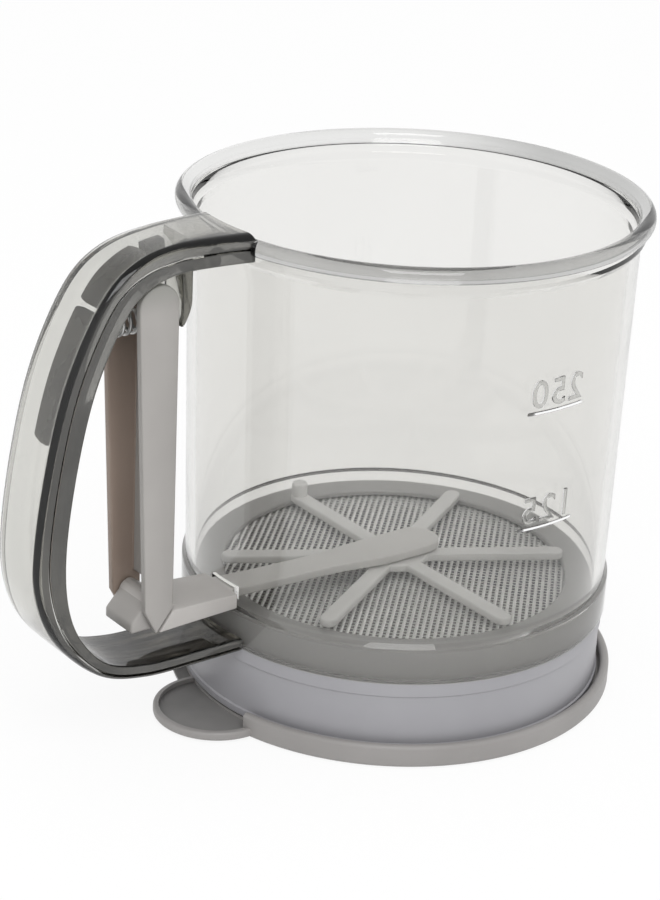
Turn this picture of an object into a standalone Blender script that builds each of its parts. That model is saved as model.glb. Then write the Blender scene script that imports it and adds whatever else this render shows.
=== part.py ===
"""Flour sifter with a squeeze trigger. Metres, +Z up.

The origin is on the cup's axis, on the underside of the bottom lid. The handle points along -X.
"""

import math

import bmesh
import bpy
from mathutils import Matrix, Vector

# General fits
GAP = 0.0003                # between pieces that touch
PIN_PLAY = 0.0004           # round a pin in its hole
TOUCH = 0.00001             # how near a point lies to count as on a face
ROUND_STEPS = 72            # sides of a large turned piece

# Cup
RIM_RADIUS = 0.0462
RIM_BEAD = 0.0016           # radius of the rolled bead on the rim
CUP_TOP = 0.1006            # crown of the bead
COLLAR_HEIGHT = 0.0030      # stepped collar under the bead
COLLAR_STEP = 0.0009        # how far the collar stands out from the wall
WALL_TOP_RADIUS = 0.0438
WALL_FOOT_RADIUS = 0.0424
WALL = 0.0019
BAND_STEP = 0.0008          # how far the foot band stands out from the wall
BAND_HEIGHT = 0.0073
CUP_FOOT = 0.0171           # underside of the cup

# Sieve ring, mesh and retainer
SKIRT_RADIUS = 0.0427
SKIRT_WALL = 0.0022
SKIRT_GROOVE = 0.0028       # depth of the fine step under the skirt's top
SPIGOT_HEIGHT = 0.0058      # the part of the ring inside the cup
SPIGOT_WALL = 0.0020
FLANGE_THICKNESS = 0.0010
MESH_OPENING = 0.0348       # radius of the mesh that shows
MESH_THICKNESS = 0.0004
MESH_PITCH = 0.0043
MESH_BAR = 0.0011
RETAINER_HEIGHT = 0.0014

# Bottom lid
LID_RADIUS = 0.0452
LID_FLOOR = 0.0018
LID_HEIGHT = 0.0046
LIP_WIDTH = 0.0018
LIP_ROUND = 0.0008
LIP_GAP_ANGLE = 13.2        # degrees each side of -X where the lip stops for the tab
TAB_RADIUS = 0.0123
TAB_HEIGHT = 0.0021
TAB_RIM = 0.0016
TAB_RECESS = 0.0009

# Handle
HANDLE_REACH = 0.0820       # inner face of the grip, from the cup's axis
UPPER_ARM_DROP = 0.0044     # underside of the upper arm below the rim's crown
LOWER_ARM_RISE = 0.0023     # top of the lower arm over the cup's underside
HANDLE_THICKNESS = 0.0062
UPPER_ARM_THICKNESS = 0.0052
LOWER_ARM_THICKNESS = 0.0030
HANDLE_WIDTH = 0.0150
ARM_ROOT_WIDTH = 0.0182     # the upper arm flares to this at the rim
COVER_THICKNESS = 0.0026
COVER_ROUND = 0.0021
CHANNEL_WALL = 0.0016
CHANNEL_FLOOR = 0.0013
INSERT_THICKNESS = 0.0011
INSERT_CORNER_SHARE = 0.4   # rounding of the insert's ends, as a share of its width
PATH_SHARES = [             # shares of the reach and of the height between the arms
    (-0.10, 1.0), (0.362, 1.0), (0.586, 0.967), (0.719, 0.888), (0.854, 0.742), (0.945, 0.562),
    (1.0, 0.371), (0.992, 0.226), (0.919, 0.121), (0.766, 0.037), (0.544, 0.005), (0.245, 0.0),
    (-0.10, 0.0),
]
# Places along the handle are shares of the way from the rim to the foot band
COVER_END_SHARE = 0.633     # the cover stops, and the lower arm is one layer
COVER_JOINT_SHARE = 0.004   # joint between the cover's end and that layer
UPPER_TAPER_SHARES = (0.083, 0.250)
LOWER_TAPER_SHARES = (0.517, 0.750)
CHANNEL_SHARES = (0.0625, 0.583)
INSERT_SHARES = (0.117, 0.400)
UPPER_HALF_SHARE = 0.42     # the way turns down and outward up to here
PATH_STEPS = 48             # straight steps along the whole handle

# Trigger and its hinge
HINGE_REACH = 0.0625        # hinge axis from the cup's axis
HINGE_DROP = 0.0060         # hinge axis below the upper arm
TRIGGER_DEPTH = 0.0084
TRIGGER_TOE_DEPTH = 0.0062
TRIGGER_WIDTH = 0.0130
TRIGGER_WALL = 0.0016
TRIGGER_WEB = 0.0018
WEB_TOP_DROP = 0.0014       # top of the web below the hinge axis
WEB_FOOT_RISE = 0.0034      # foot of the web over the link pin
TOE_HEEL_RISE = 0.0050      # chamfer of the toe, over the arm's underside
TOE_TIP_SETBACK = 0.0036    # tip of the toe behind the front face
TOE_MITRE_RISE = 0.0007     # top of the mitre over the arm's end
HINGE_PIN_RADIUS = 0.0010
EAR_RADIUS = 0.0026
EAR_THICKNESS = 0.0013
EAR_SEAT = 0.0008           # how far the ears reach into the arm
STOP_WALL = 0.0018
STOP_GAP = 0.0008           # between the trigger at rest and its stop
STOP_HEIGHT = 0.0112
STOP_SEAT = 0.0005
SPRING_DROP = 0.0042        # spring axis below the hinge axis
SPRING_RADIUS = 0.0021      # to the middle of the wire
SPRING_WIRE = 0.0007
SPRING_TURNS = 6
SPRING_POINTS_PER_TURN = 10

# Push arm, star and their pins
STAR_LIFT = 0.0002          # underside of the star over the ring's flange
ARM_END_HEIGHT = 0.0039     # at the trigger
ARM_WALL_HEIGHT = 0.0031    # beside the cup's wall
ARM_HUB_HEIGHT = 0.0018
ARM_STRIP = 0.0018          # thickness of the strip inside the cup
ARM_WALL_WIDTH = 0.0112     # the block beside the wall
ARM_SLOT_WIDTH = 0.0066     # the strip that passes through the wall
ARM_HUB_WIDTH = 0.0094
ARM_PAST_CENTRE = 0.0100
ARM_EYE_RADIUS = 0.0022     # round end of the tongue on the link pin
SLOT_PLAY = 0.0005
MITRE_GAP = 0.0006
LINK_PIN_RADIUS = 0.0010
LINK_PIN_RISE = 0.0049      # link pin over the arm's underside
LINK_PIN_SETBACK = 0.0030   # link pin behind the trigger's front face
STAR_HEIGHT = 0.0017
STAR_RADIUS = 0.0352
STAR_HUB_RADIUS = 0.0066
SPOKE_WIDTH = 0.0034
SPOKES = 6
RIVET_RADIUS = 0.0016
RIVET_HEAD_RADIUS = 0.0030
RIVET_HEAD_HEIGHT = 0.0006
RIVET_HOLE_DEPTH = 0.0013   # blind hole in the arm's hub

# Places worked out from the sizes above
WALL_SLOPE = (WALL_TOP_RADIUS - WALL_FOOT_RADIUS) / (CUP_TOP - COLLAR_HEIGHT - CUP_FOOT)
BAND_RADIUS = WALL_FOOT_RADIUS + BAND_STEP
HANDLE_SPAN = HANDLE_REACH - WALL_TOP_RADIUS
UPPER_ARM_Z = CUP_TOP - UPPER_ARM_DROP
LOWER_ARM_Z = CUP_FOOT + LOWER_ARM_RISE
FLANGE_TOP = CUP_FOOT + SPIGOT_HEIGHT
STAR_FLOOR = FLANGE_TOP + STAR_LIFT
STAR_TOP = STAR_FLOOR + STAR_HEIGHT
ARM_FLOOR = STAR_TOP + GAP
ARM_END_TOP = ARM_FLOOR + ARM_END_HEIGHT
HINGE = Vector((-HINGE_REACH, 0, UPPER_ARM_Z - HINGE_DROP))
TRIGGER_FRONT = HINGE.x + TRIGGER_DEPTH / 2
LINK_PIN = Vector((TRIGGER_FRONT - LINK_PIN_SETBACK, 0, ARM_FLOOR + LINK_PIN_RISE))
MESH_TOP = FLANGE_TOP - FLANGE_THICKNESS - GAP
SPIGOT_RADIUS = WALL_FOOT_RADIUS - WALL - GAP
SPIGOT_BORE = SPIGOT_RADIUS - SPIGOT_WALL
SKIRT_FOOT = LID_FLOOR + GAP

CLEAR = (0.80, 0.80, 0.78)
SMOKE = (0.20, 0.20, 0.19)
WARM_GREY = (0.38, 0.36, 0.34)
RING_GREY = (0.33, 0.33, 0.35)
STEEL = (0.60, 0.60, 0.60)


def wall_radius(z):
    return WALL_FOOT_RADIUS + WALL_SLOPE * (z - CUP_FOOT)


# Scene and helpers

for old in list(bpy.data.objects):
    bpy.data.objects.remove(old, do_unlink=True)
parts = bpy.data.collections.new("flour_sifter")
cutters = bpy.data.collections.new("cutters")
for group in (parts, cutters):
    bpy.context.scene.collection.children.link(group)


def material(name, colour, roughness, metallic=0.0, alpha=1.0):
    mat = bpy.data.materials.new(name)
    mat.use_nodes = True
    shader = mat.node_tree.nodes["Principled BSDF"]
    shader.inputs["Base Color"].default_value = (*colour, 1)
    shader.inputs["Roughness"].default_value = roughness
    shader.inputs["Metallic"].default_value = metallic
    shader.inputs["Alpha"].default_value = alpha
    return mat


clear_plastic = material("clear_plastic", CLEAR, 0.08, alpha=0.35)
smoke_plastic = material("smoke_plastic", SMOKE, 0.15, alpha=0.7)
grey_plastic = material("grey_plastic", WARM_GREY, 0.45)
ring_plastic = material("ring_plastic", RING_GREY, 0.40)
steel = material("steel", STEEL, 0.30, metallic=1.0)


def add(name, mesh, mat, origin=(0, 0, 0)):
    """One named part whose mesh, given in world places, hangs on an origin."""
    obj = bpy.data.objects.new(name, mesh)
    mesh.transform(Matrix.Translation(-Vector(origin)))
    obj.location = origin
    mesh.materials.clear()
    mesh.materials.append(mat)
    mesh.shade_smooth()
    mesh.set_sharp_from_angle(angle=math.radians(30))
    parts.objects.link(obj)
    return obj


def cutter(name, mesh):
    obj = bpy.data.objects.new(name, mesh)
    obj.hide_render = True
    obj.display_type = "WIRE"
    cutters.objects.link(obj)
    return obj


def boolean(obj, other, operation="DIFFERENCE"):
    step = obj.modifiers.new(operation.lower(), "BOOLEAN")
    step.operation = operation
    step.object = other
    step.solver = "EXACT"
    return obj


def evaluated_mesh(obj):
    bpy.context.view_layer.update()
    graph = bpy.context.evaluated_depsgraph_get()
    mesh = bpy.data.meshes.new_from_object(obj.evaluated_get(graph))
    mesh.transform(obj.matrix_world)
    return mesh


def turned_mesh(profile, steps=ROUND_STEPS):
    """Closed ring or disc from (radius, height) points that run down the outer side first."""
    mesh = bpy.data.meshes.new("profile")
    points = [(radius, 0, z) for radius, z in profile]
    on_axis = profile[0][0] == 0 and profile[-1][0] == 0
    last = len(points) - 1 if on_axis else len(points)
    mesh.from_pydata(points, [(i, (i + 1) % len(points)) for i in range(last)], [])
    obj = bpy.data.objects.new("profile", mesh)
    bpy.context.scene.collection.objects.link(obj)
    screw = obj.modifiers.new("turn", "SCREW")
    screw.steps = screw.render_steps = steps
    screw.use_merge_vertices = True
    screw.merge_threshold = 1e-6
    turned = evaluated_mesh(obj)
    bpy.data.objects.remove(obj)
    return turned


def cylinder_mesh(radius, low, high, steps=24, centre=(0, 0), along="Z"):
    """Cylinder between two heights along Z, or between two widths along Y."""
    mesh = turned_mesh([(0, high), (radius, high), (radius, low), (0, low)], steps)
    if along == "Y":
        for v in mesh.vertices:
            v.co = Vector((v.co.x + centre[0], -v.co.z, v.co.y + centre[1]))
    else:
        for v in mesh.vertices:
            v.co += Vector((centre[0], centre[1], 0))
    return mesh


def pin_mesh(centre, radius, half):
    """Pin or pin hole across the handle's plane, through a place."""
    return cylinder_mesh(radius, -half, half, 20, (centre.x, centre.z), "Y")


def plate_mesh(outline, low, high, along="Y"):
    """Flat outline given thickness: (x, z) points along Y, or (x, y) points along Z."""
    curve = bpy.data.curves.new("outline", "CURVE")
    curve.dimensions = "2D"
    curve.fill_mode = "BOTH"
    curve.extrude = (high - low) / 2
    spline = curve.splines.new("POLY")
    spline.points.add(len(outline) - 1)
    spline.use_cyclic_u = True
    for point, (a, b) in zip(spline.points, outline):
        point.co = (a, b, 0, 1)
    obj = bpy.data.objects.new("outline", curve)
    bpy.context.scene.collection.objects.link(obj)
    middle = (low + high) / 2
    if along == "Y":
        obj.rotation_euler = (math.pi / 2, 0, 0)
        obj.location = (0, middle, 0)
    else:
        obj.location = (0, 0, middle)
    mesh = evaluated_mesh(obj)
    bpy.data.objects.remove(obj)
    work = bmesh.new()
    work.from_mesh(mesh)
    bmesh.ops.remove_doubles(work, verts=work.verts, dist=1e-7)
    bmesh.ops.dissolve_limit(work, angle_limit=0.01, verts=work.verts, edges=work.edges)
    bmesh.ops.recalc_face_normals(work, faces=work.faces)
    work.to_mesh(mesh)
    work.free()
    return mesh


def polar(radius, angle):
    return (radius * math.cos(math.radians(angle)), radius * math.sin(math.radians(angle)))


def arc(centre, radius, start, end, steps):
    """Points on a circle from one angle to another, in degrees."""
    points = []
    for i in range(steps + 1):
        angle = math.radians(start + (end - start) * i / steps)
        points.append((centre[0] + radius * math.cos(angle), centre[1] + radius * math.sin(angle)))
    return points


def box_mesh(low, high):
    work = bmesh.new()
    bmesh.ops.create_cube(work, size=1)
    for v in work.verts:
        v.co = Vector(low) + (v.co + Vector((0.5, 0.5, 0.5))) * (Vector(high) - Vector(low))
    mesh = bpy.data.meshes.new("box")
    work.to_mesh(mesh)
    work.free()
    return mesh


def joined(name, meshes, operation="UNION"):
    """One mesh from several by Booleans, in order."""
    base = bpy.data.objects.new(name, meshes[0])
    bpy.context.scene.collection.objects.link(base)
    helpers = []
    for i, mesh in enumerate(meshes[1:]):
        helper = bpy.data.objects.new(f"{name}_{i}", mesh)
        bpy.context.scene.collection.objects.link(helper)
        helpers.append(helper)
        boolean(base, helper, operation)
    mesh = evaluated_mesh(base)
    for obj in [base, *helpers]:
        bpy.data.objects.remove(obj)
    return mesh


def rounded(mesh, width, segments, chosen):
    """Rounds the edges whose two ends both pass a test."""
    work = bmesh.new()
    work.from_mesh(mesh)
    edges = [e for e in work.edges if chosen(e.verts[0].co, e.verts[1].co)]
    bmesh.ops.bevel(work, geom=edges, offset=width, segments=segments, profile=0.5, affect="EDGES")
    work.to_mesh(mesh)
    work.free()
    return mesh


# Cup: rolled rim, stepped collar, tapered wall, foot band and the push arm's slot

def make_cup():
    bead = (RIM_RADIUS - RIM_BEAD, CUP_TOP - RIM_BEAD)
    collar_low = CUP_TOP - 2 * RIM_BEAD - COLLAR_HEIGHT
    collar = wall_radius(collar_low) + COLLAR_STEP
    band_top = CUP_FOOT + BAND_HEIGHT
    profile = arc(bead, RIM_BEAD, 150, -60, 10)
    profile += [
        (collar, CUP_TOP - 2 * RIM_BEAD),
        (collar, collar_low + COLLAR_STEP),
        (wall_radius(collar_low), collar_low),
        (wall_radius(band_top), band_top + BAND_STEP),
        (BAND_RADIUS, band_top),
        (BAND_RADIUS, CUP_FOOT),
        (WALL_FOOT_RADIUS - WALL, CUP_FOOT),
        (wall_radius(band_top) - WALL, band_top),
        (wall_radius(collar_low) - WALL, collar_low),
    ]
    cup = add("cup_body", turned_mesh(profile, 96), clear_plastic)
    half = ARM_SLOT_WIDTH / 2 + SLOT_PLAY
    high = ARM_FLOOR + ARM_WALL_HEIGHT + SLOT_PLAY
    low = high - ARM_STRIP - 2 * SLOT_PLAY
    slot = box_mesh((-BAND_RADIUS - 2 * WALL, -half, low), (-BAND_RADIUS + 4 * WALL, half, high))
    return boolean(cup, cutter("cup_slot_cut", slot))


# Sieve ring, mesh and the ring that holds the mesh up

def make_sieve():
    skirt_top = CUP_FOOT - GAP
    groove = skirt_top - SKIRT_GROOVE
    step = GAP
    ring = [
        (MESH_OPENING, FLANGE_TOP),
        (SPIGOT_RADIUS, FLANGE_TOP),
        (SPIGOT_RADIUS, skirt_top),
        (SKIRT_RADIUS, skirt_top),
        (SKIRT_RADIUS, groove),
        (SKIRT_RADIUS - step, groove - step),
        (SKIRT_RADIUS - step, SKIRT_FOOT),
        (SKIRT_RADIUS - SKIRT_WALL, SKIRT_FOOT),
        (SKIRT_RADIUS - SKIRT_WALL, skirt_top - SKIRT_WALL),
        (SPIGOT_BORE, skirt_top),
        (SPIGOT_BORE, FLANGE_TOP - FLANGE_THICKNESS),
        (MESH_OPENING, FLANGE_TOP - FLANGE_THICKNESS),
    ]
    add("sieve_ring", turned_mesh(ring), ring_plastic)

    mesh_radius = SPIGOT_BORE - GAP
    mesh_low = MESH_TOP - MESH_THICKNESS
    screen = add("mesh_screen", cylinder_mesh(mesh_radius, mesh_low, MESH_TOP, 64), steel)
    boolean(screen, cutter("mesh_gap_cut", net_gaps(mesh_low)))

    retainer_top = mesh_low - GAP
    retainer = [
        (MESH_OPENING, retainer_top),
        (mesh_radius, retainer_top),
        (mesh_radius, retainer_top - RETAINER_HEIGHT),
        (MESH_OPENING, retainer_top - RETAINER_HEIGHT),
    ]
    add("mesh_retainer", turned_mesh(retainer), ring_plastic)


def net_gaps(mesh_low):
    """All the square gaps of the net that lie wholly inside the opening, as one mesh."""
    work = bmesh.new()
    half_gap = (MESH_PITCH - MESH_BAR) / 2
    count = int(MESH_OPENING / MESH_PITCH) + 1
    for i in range(-count, count + 1):
        for j in range(-count, count + 1):
            x, y = i * MESH_PITCH, j * MESH_PITCH
            if math.hypot(abs(x) + half_gap, abs(y) + half_gap) > MESH_OPENING - MESH_BAR:
                continue
            made = bmesh.ops.create_cube(work, size=1)["verts"]
            for v in made:
                v.co.x = x + 2 * half_gap * v.co.x
                v.co.y = y + 2 * half_gap * v.co.y
                v.co.z = mesh_low + MESH_THICKNESS * (0.5 + 2 * v.co.z)
    mesh = bpy.data.meshes.new("net_gaps")
    work.to_mesh(mesh)
    work.free()
    return mesh


# Bottom lid: floor, lip with an opening, and the pull tab

def make_lid():
    inner = LID_RADIUS - LIP_WIDTH
    profile = [
        (0, LID_FLOOR),
        (inner, LID_FLOOR),
        (inner, LID_HEIGHT - LIP_ROUND),
        (inner + LIP_ROUND, LID_HEIGHT),
        (LID_RADIUS - LIP_ROUND, LID_HEIGHT),
        (LID_RADIUS, LID_HEIGHT - LIP_ROUND),
        (LID_RADIUS, LIP_ROUND),
        (LID_RADIUS - LIP_ROUND, 0),
        (0, 0),
    ]
    lid = turned_mesh(profile)
    half = math.radians(LIP_GAP_ANGLE)
    far = 1.5 * LID_RADIUS
    opening = [(0, 0), (-far * math.cos(half), far * math.sin(half)), (-far, 0),
               (-far * math.cos(half), -far * math.sin(half))]
    lip_gap = plate_mesh(opening, TAB_HEIGHT + GAP, 2 * LID_HEIGHT, along="Z")
    lid = joined("lid", [lid, lip_gap], "DIFFERENCE")
    centre = (-(LID_RADIUS - LIP_WIDTH), 0)
    tab = cylinder_mesh(TAB_RADIUS, GAP, TAB_HEIGHT, 48, centre)
    inside = cylinder_mesh(inner + LIP_WIDTH / 2, LID_FLOOR / 2, 2 * LID_HEIGHT, ROUND_STEPS)
    tab = joined("tab", [tab, inside], "DIFFERENCE")
    recess = cylinder_mesh(TAB_RADIUS - TAB_RIM, TAB_HEIGHT - TAB_RECESS, 2 * TAB_HEIGHT, 48, centre)
    beside_lip = cylinder_mesh(LID_RADIUS + LIP_ROUND, -LID_HEIGHT, 2 * LID_HEIGHT, ROUND_STEPS)
    recess = joined("recess", [recess, beside_lip], "DIFFERENCE")
    tab = joined("tab", [tab, recess], "DIFFERENCE")
    lid = joined("lid", [lid, tab])
    return add("bottom_lid", lid, grey_plastic)


# Handle: a channel, the rounded cover that closes it and the dark strip inside

def path_point(s):
    """Point of the handle's inner face at a share of its way, on a smooth curve through the points."""
    last = len(PATH_SHARES) - 1
    i = min(int(s * last), last - 1)
    t = s * last - i
    before, here, after, later = (PATH_SHARES[max(0, min(last, j))] for j in (i - 1, i, i + 1, i + 2))
    share = []
    for a, b, c, d in zip(before, here, after, later):
        share.append(0.5 * (2 * b + (c - a) * t + (2 * a - 5 * b + 4 * c - d) * t**2
                            + (3 * b - a - 3 * c + d) * t**3))
    x = -(WALL_TOP_RADIUS + share[0] * HANDLE_SPAN)
    return Vector((x, LOWER_ARM_Z + share[1] * (UPPER_ARM_Z - LOWER_ARM_Z)))


def path_outward(s):
    """Unit direction from the inner face to the outer face."""
    step = 0.1 / PATH_STEPS
    along = path_point(min(1, s + step)) - path_point(max(0, s - step))
    return Vector((along.y, -along.x)).normalized()


def eased(s, span):
    share = min(1, max(0, (s - span[0]) / (span[1] - span[0])))
    return share * share * (3 - 2 * share)


def thickness(s):
    gain = eased(s, UPPER_TAPER_SHARES) * (HANDLE_THICKNESS - UPPER_ARM_THICKNESS)
    loss = eased(s, LOWER_TAPER_SHARES) * (HANDLE_THICKNESS - LOWER_ARM_THICKNESS)
    return UPPER_ARM_THICKNESS + gain - loss


def offset_path(start, end, depth):
    """Points between two places of the way, each moved outward by depth(s)."""
    count = max(2, round((end - start) * PATH_STEPS))
    points = []
    for i in range(count + 1):
        s = start + (end - start) * i / count
        points.append(tuple(path_point(s) + path_outward(s) * depth(s)))
    return points


def distance_to_line(point, a, b):
    along = b - a
    share = min(1, max(0, (point - a).dot(along) / along.dot(along)))
    return (point - a - along * share).length


def strap(start, end, low, high, width):
    """Strip of the handle between two places of its way and two depths."""
    outline = offset_path(start, end, low) + offset_path(start, end, high)[::-1]
    return plate_mesh(outline, -width / 2, width / 2)


def flared(mesh):
    """Widens the upper arm towards the rim."""
    end = -WALL_TOP_RADIUS
    for v in mesh.vertices:
        if v.co.z > HINGE.z:
            share = min(1, max(0, (v.co.x - TRIGGER_FRONT) / (end - TRIGGER_FRONT)))
            v.co.y *= 1 + share * (ARM_ROOT_WIDTH / HANDLE_WIDTH - 1)
    return mesh


def cup_clearance():
    """The cup and its rim, grown by the gap, to trim the handle's ends."""
    middle = (UPPER_ARM_Z + LOWER_ARM_Z) / 2
    upper = cylinder_mesh(RIM_RADIUS + GAP, middle, 2 * CUP_TOP, 96)
    lower = cylinder_mesh(BAND_RADIUS + GAP, -middle, CUP_TOP, 96)
    return joined("cup_clearance", [upper, lower])


def make_handle():
    def parting(s):
        return thickness(s) - COVER_THICKNESS

    def channel_floor(s):
        return CHANNEL_FLOOR

    inner = offset_path(0, 1, lambda s: 0)
    frame_back = offset_path(0, COVER_END_SHARE, parting)
    frame_back += offset_path(COVER_END_SHARE, 1, thickness)
    frame = plate_mesh(inner + frame_back[::-1], -HANDLE_WIDTH / 2, HANDLE_WIDTH / 2)
    channel_width = HANDLE_WIDTH - 2 * CHANNEL_WALL
    channel = strap(*CHANNEL_SHARES, channel_floor, thickness, channel_width)
    frame = joined("frame", [frame, channel, cup_clearance()], "DIFFERENCE")
    frame = joined("frame", [frame, *hinge_ears()], "UNION")
    pin_hole = pin_mesh(HINGE, HINGE_PIN_RADIUS + GAP, TRIGGER_WIDTH)
    frame = joined("frame", [frame, pin_hole], "DIFFERENCE")
    add("handle_frame", flared(frame), smoke_plastic)

    end = COVER_END_SHARE - COVER_JOINT_SHARE
    cover = strap(0, end, lambda s: parting(s) + GAP, thickness, HANDLE_WIDTH)
    cover = joined("cover", [cover, cup_clearance()], "DIFFERENCE")
    outer = [Vector(point) for point in offset_path(0, end, thickness)]

    def on_outer(a, b):
        for point in (a, b):
            flat = Vector((point.x, point.z))
            away = min(distance_to_line(flat, p, q) for p, q in zip(outer, outer[1:]))
            if away > TOUCH or abs(point.y) < HANDLE_WIDTH / 2 - GAP:
                return False
        return a.y * b.y > 0

    add("handle_cover", flared(rounded(cover, COVER_ROUND, 3, on_outer)), clear_plastic)

    floor = CHANNEL_FLOOR + GAP
    top = floor + INSERT_THICKNESS
    insert_width = channel_width - 2 * GAP
    insert = strap(*INSERT_SHARES, lambda s: floor, lambda s: top, insert_width)
    ends = [[path_point(s) + path_outward(s) * depth for depth in (floor, top)] for s in INSERT_SHARES]

    def corner(a, b):
        for pair in ends:
            near = [min((Vector((p.x, p.z)) - q).length for q in pair) for p in (a, b)]
            if max(near) < TOUCH and a.y * b.y > 0 and (a - b).length < 2 * INSERT_THICKNESS:
                return True
        return False

    insert = rounded(insert, INSERT_CORNER_SHARE * insert_width, 4, corner)
    add("grip_insert", insert, smoke_plastic)


def hinge_ears():
    """Two ears and the stop wall that hang from the upper arm into the trigger's top."""
    outside = TRIGGER_WIDTH / 2 - TRIGGER_WALL - GAP
    stop_back = TRIGGER_FRONT + STOP_GAP
    stop_half = outside - GAP
    stop_low = (stop_back, -stop_half, UPPER_ARM_Z - STOP_HEIGHT)
    stop_high = (stop_back + STOP_WALL, stop_half, UPPER_ARM_Z + STOP_SEAT)
    meshes = [box_mesh(stop_low, stop_high)]
    for side in (-1, 1):
        low, high = sorted((side * outside, side * (outside - EAR_THICKNESS)))
        outline = arc((HINGE.x, HINGE.z), EAR_RADIUS, 180, 360, 10)
        outline += [(stop_back + STOP_WALL / 2, HINGE.z + EAR_RADIUS / 3)]
        for x in (stop_back + STOP_WALL / 2, HINGE.x + EAR_RADIUS, HINGE.x, HINGE.x - EAR_RADIUS):
            outline += [(x, arm_face_at(x) + EAR_SEAT)]
        meshes.append(plate_mesh(outline, low, high))
    return meshes


def arm_face_at(x):
    """Height of the handle's inner face over a place on its upper arm or bend."""
    low, high = 0.0, UPPER_HALF_SHARE
    for _ in range(40):
        middle = (low + high) / 2
        if path_point(middle).x > x:
            low = middle
        else:
            high = middle
    return path_point(low).y


# Trigger: a channel hinged at its rounded top, open towards the grip

def toe_points():
    """Lower corner of the trigger's side: the chamfer, the tip and the top of the mitre."""
    heel = (TRIGGER_FRONT - TRIGGER_TOE_DEPTH, ARM_FLOOR + TOE_HEEL_RISE)
    tip = (TRIGGER_FRONT - TOE_TIP_SETBACK, ARM_FLOOR)
    mitre = (TRIGGER_FRONT, ARM_END_TOP + TOE_MITRE_RISE)
    return heel, tip, mitre


def make_trigger():
    heel, tip, mitre = toe_points()
    top = arc((HINGE.x, HINGE.z), TRIGGER_DEPTH / 2, 0, 180, 16)
    outline = top + [heel, tip, mitre]
    side = TRIGGER_WIDTH / 2
    body = plate_mesh(outline, -side, side)
    inside = side - TRIGGER_WALL
    web_back = TRIGGER_FRONT - TRIGGER_WEB
    web_top = HINGE.z - WEB_TOP_DROP
    web_foot = LINK_PIN.z + WEB_FOOT_RISE
    far = HINGE.x - 2 * TRIGGER_DEPTH
    front = TRIGGER_FRONT + TRIGGER_DEPTH
    hollow = box_mesh((far, -inside, ARM_FLOOR - WALL), (web_back, inside, HINGE.z + TRIGGER_DEPTH))
    over_web = box_mesh((web_back - WALL, -inside, web_top), (front, inside, HINGE.z + TRIGGER_DEPTH))
    under_web = box_mesh((web_back - WALL, -inside, ARM_FLOOR - WALL), (front, inside, web_foot))
    reach = side - TRIGGER_WALL / 3
    hinge_hole = pin_mesh(HINGE, HINGE_PIN_RADIUS + GAP, reach)
    link_hole = pin_mesh(LINK_PIN, LINK_PIN_RADIUS + PIN_PLAY, reach)
    body = joined("trigger", [body, hollow, over_web, under_web, hinge_hole, link_hole], "DIFFERENCE")
    add("trigger", body, grey_plastic, HINGE)

    pin_half = reach - GAP
    add("hinge_pin", pin_mesh(HINGE, HINGE_PIN_RADIUS, pin_half), steel, HINGE)
    add("link_pin", pin_mesh(LINK_PIN, LINK_PIN_RADIUS, pin_half), steel, LINK_PIN)


# Return spring between the grip and the trigger's web

def grip_face_at(z):
    """X of the handle's inner face at a height on its upper half."""
    low, high = 0.0, UPPER_HALF_SHARE
    for _ in range(40):
        middle = (low + high) / 2
        if path_point(middle).y > z:
            low = middle
        else:
            high = middle
    return path_point(low).x


def make_spring():
    axis_z = HINGE.z - SPRING_DROP
    outer = SPRING_RADIUS + SPRING_WIRE / 2
    start = grip_face_at(axis_z + outer) + SPRING_WIRE / 2 + GAP
    end = TRIGGER_FRONT - TRIGGER_WEB - SPRING_WIRE / 2 - GAP
    count = SPRING_TURNS * SPRING_POINTS_PER_TURN
    points = []
    for i in range(count + 1):
        angle = 2 * math.pi * i / SPRING_POINTS_PER_TURN
        x = start + (end - start) * i / count
        points.append((x, SPRING_RADIUS * math.sin(angle), axis_z + SPRING_RADIUS * math.cos(angle)))
    curve = bpy.data.curves.new("trigger_spring", "CURVE")
    curve.dimensions = "3D"
    curve.bevel_depth = SPRING_WIRE / 2
    curve.bevel_resolution = 1
    curve.use_fill_caps = True
    spline = curve.splines.new("POLY")
    spline.points.add(count)
    for point, place in zip(spline.points, points):
        point.co = (*place, 1)
    curve.materials.append(steel)
    parts.objects.link(bpy.data.objects.new("trigger_spring", curve))
    least = min(
        math.dist(points[i], points[j])
        for i in range(count + 1)
        for j in range(i + SPRING_POINTS_PER_TURN // 2, count + 1)
    )
    print(f"trigger_spring: least gap to itself {(least - SPRING_WIRE) * 1000:.2f} mm")


# Push arm, star and the rivet that joins them

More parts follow.
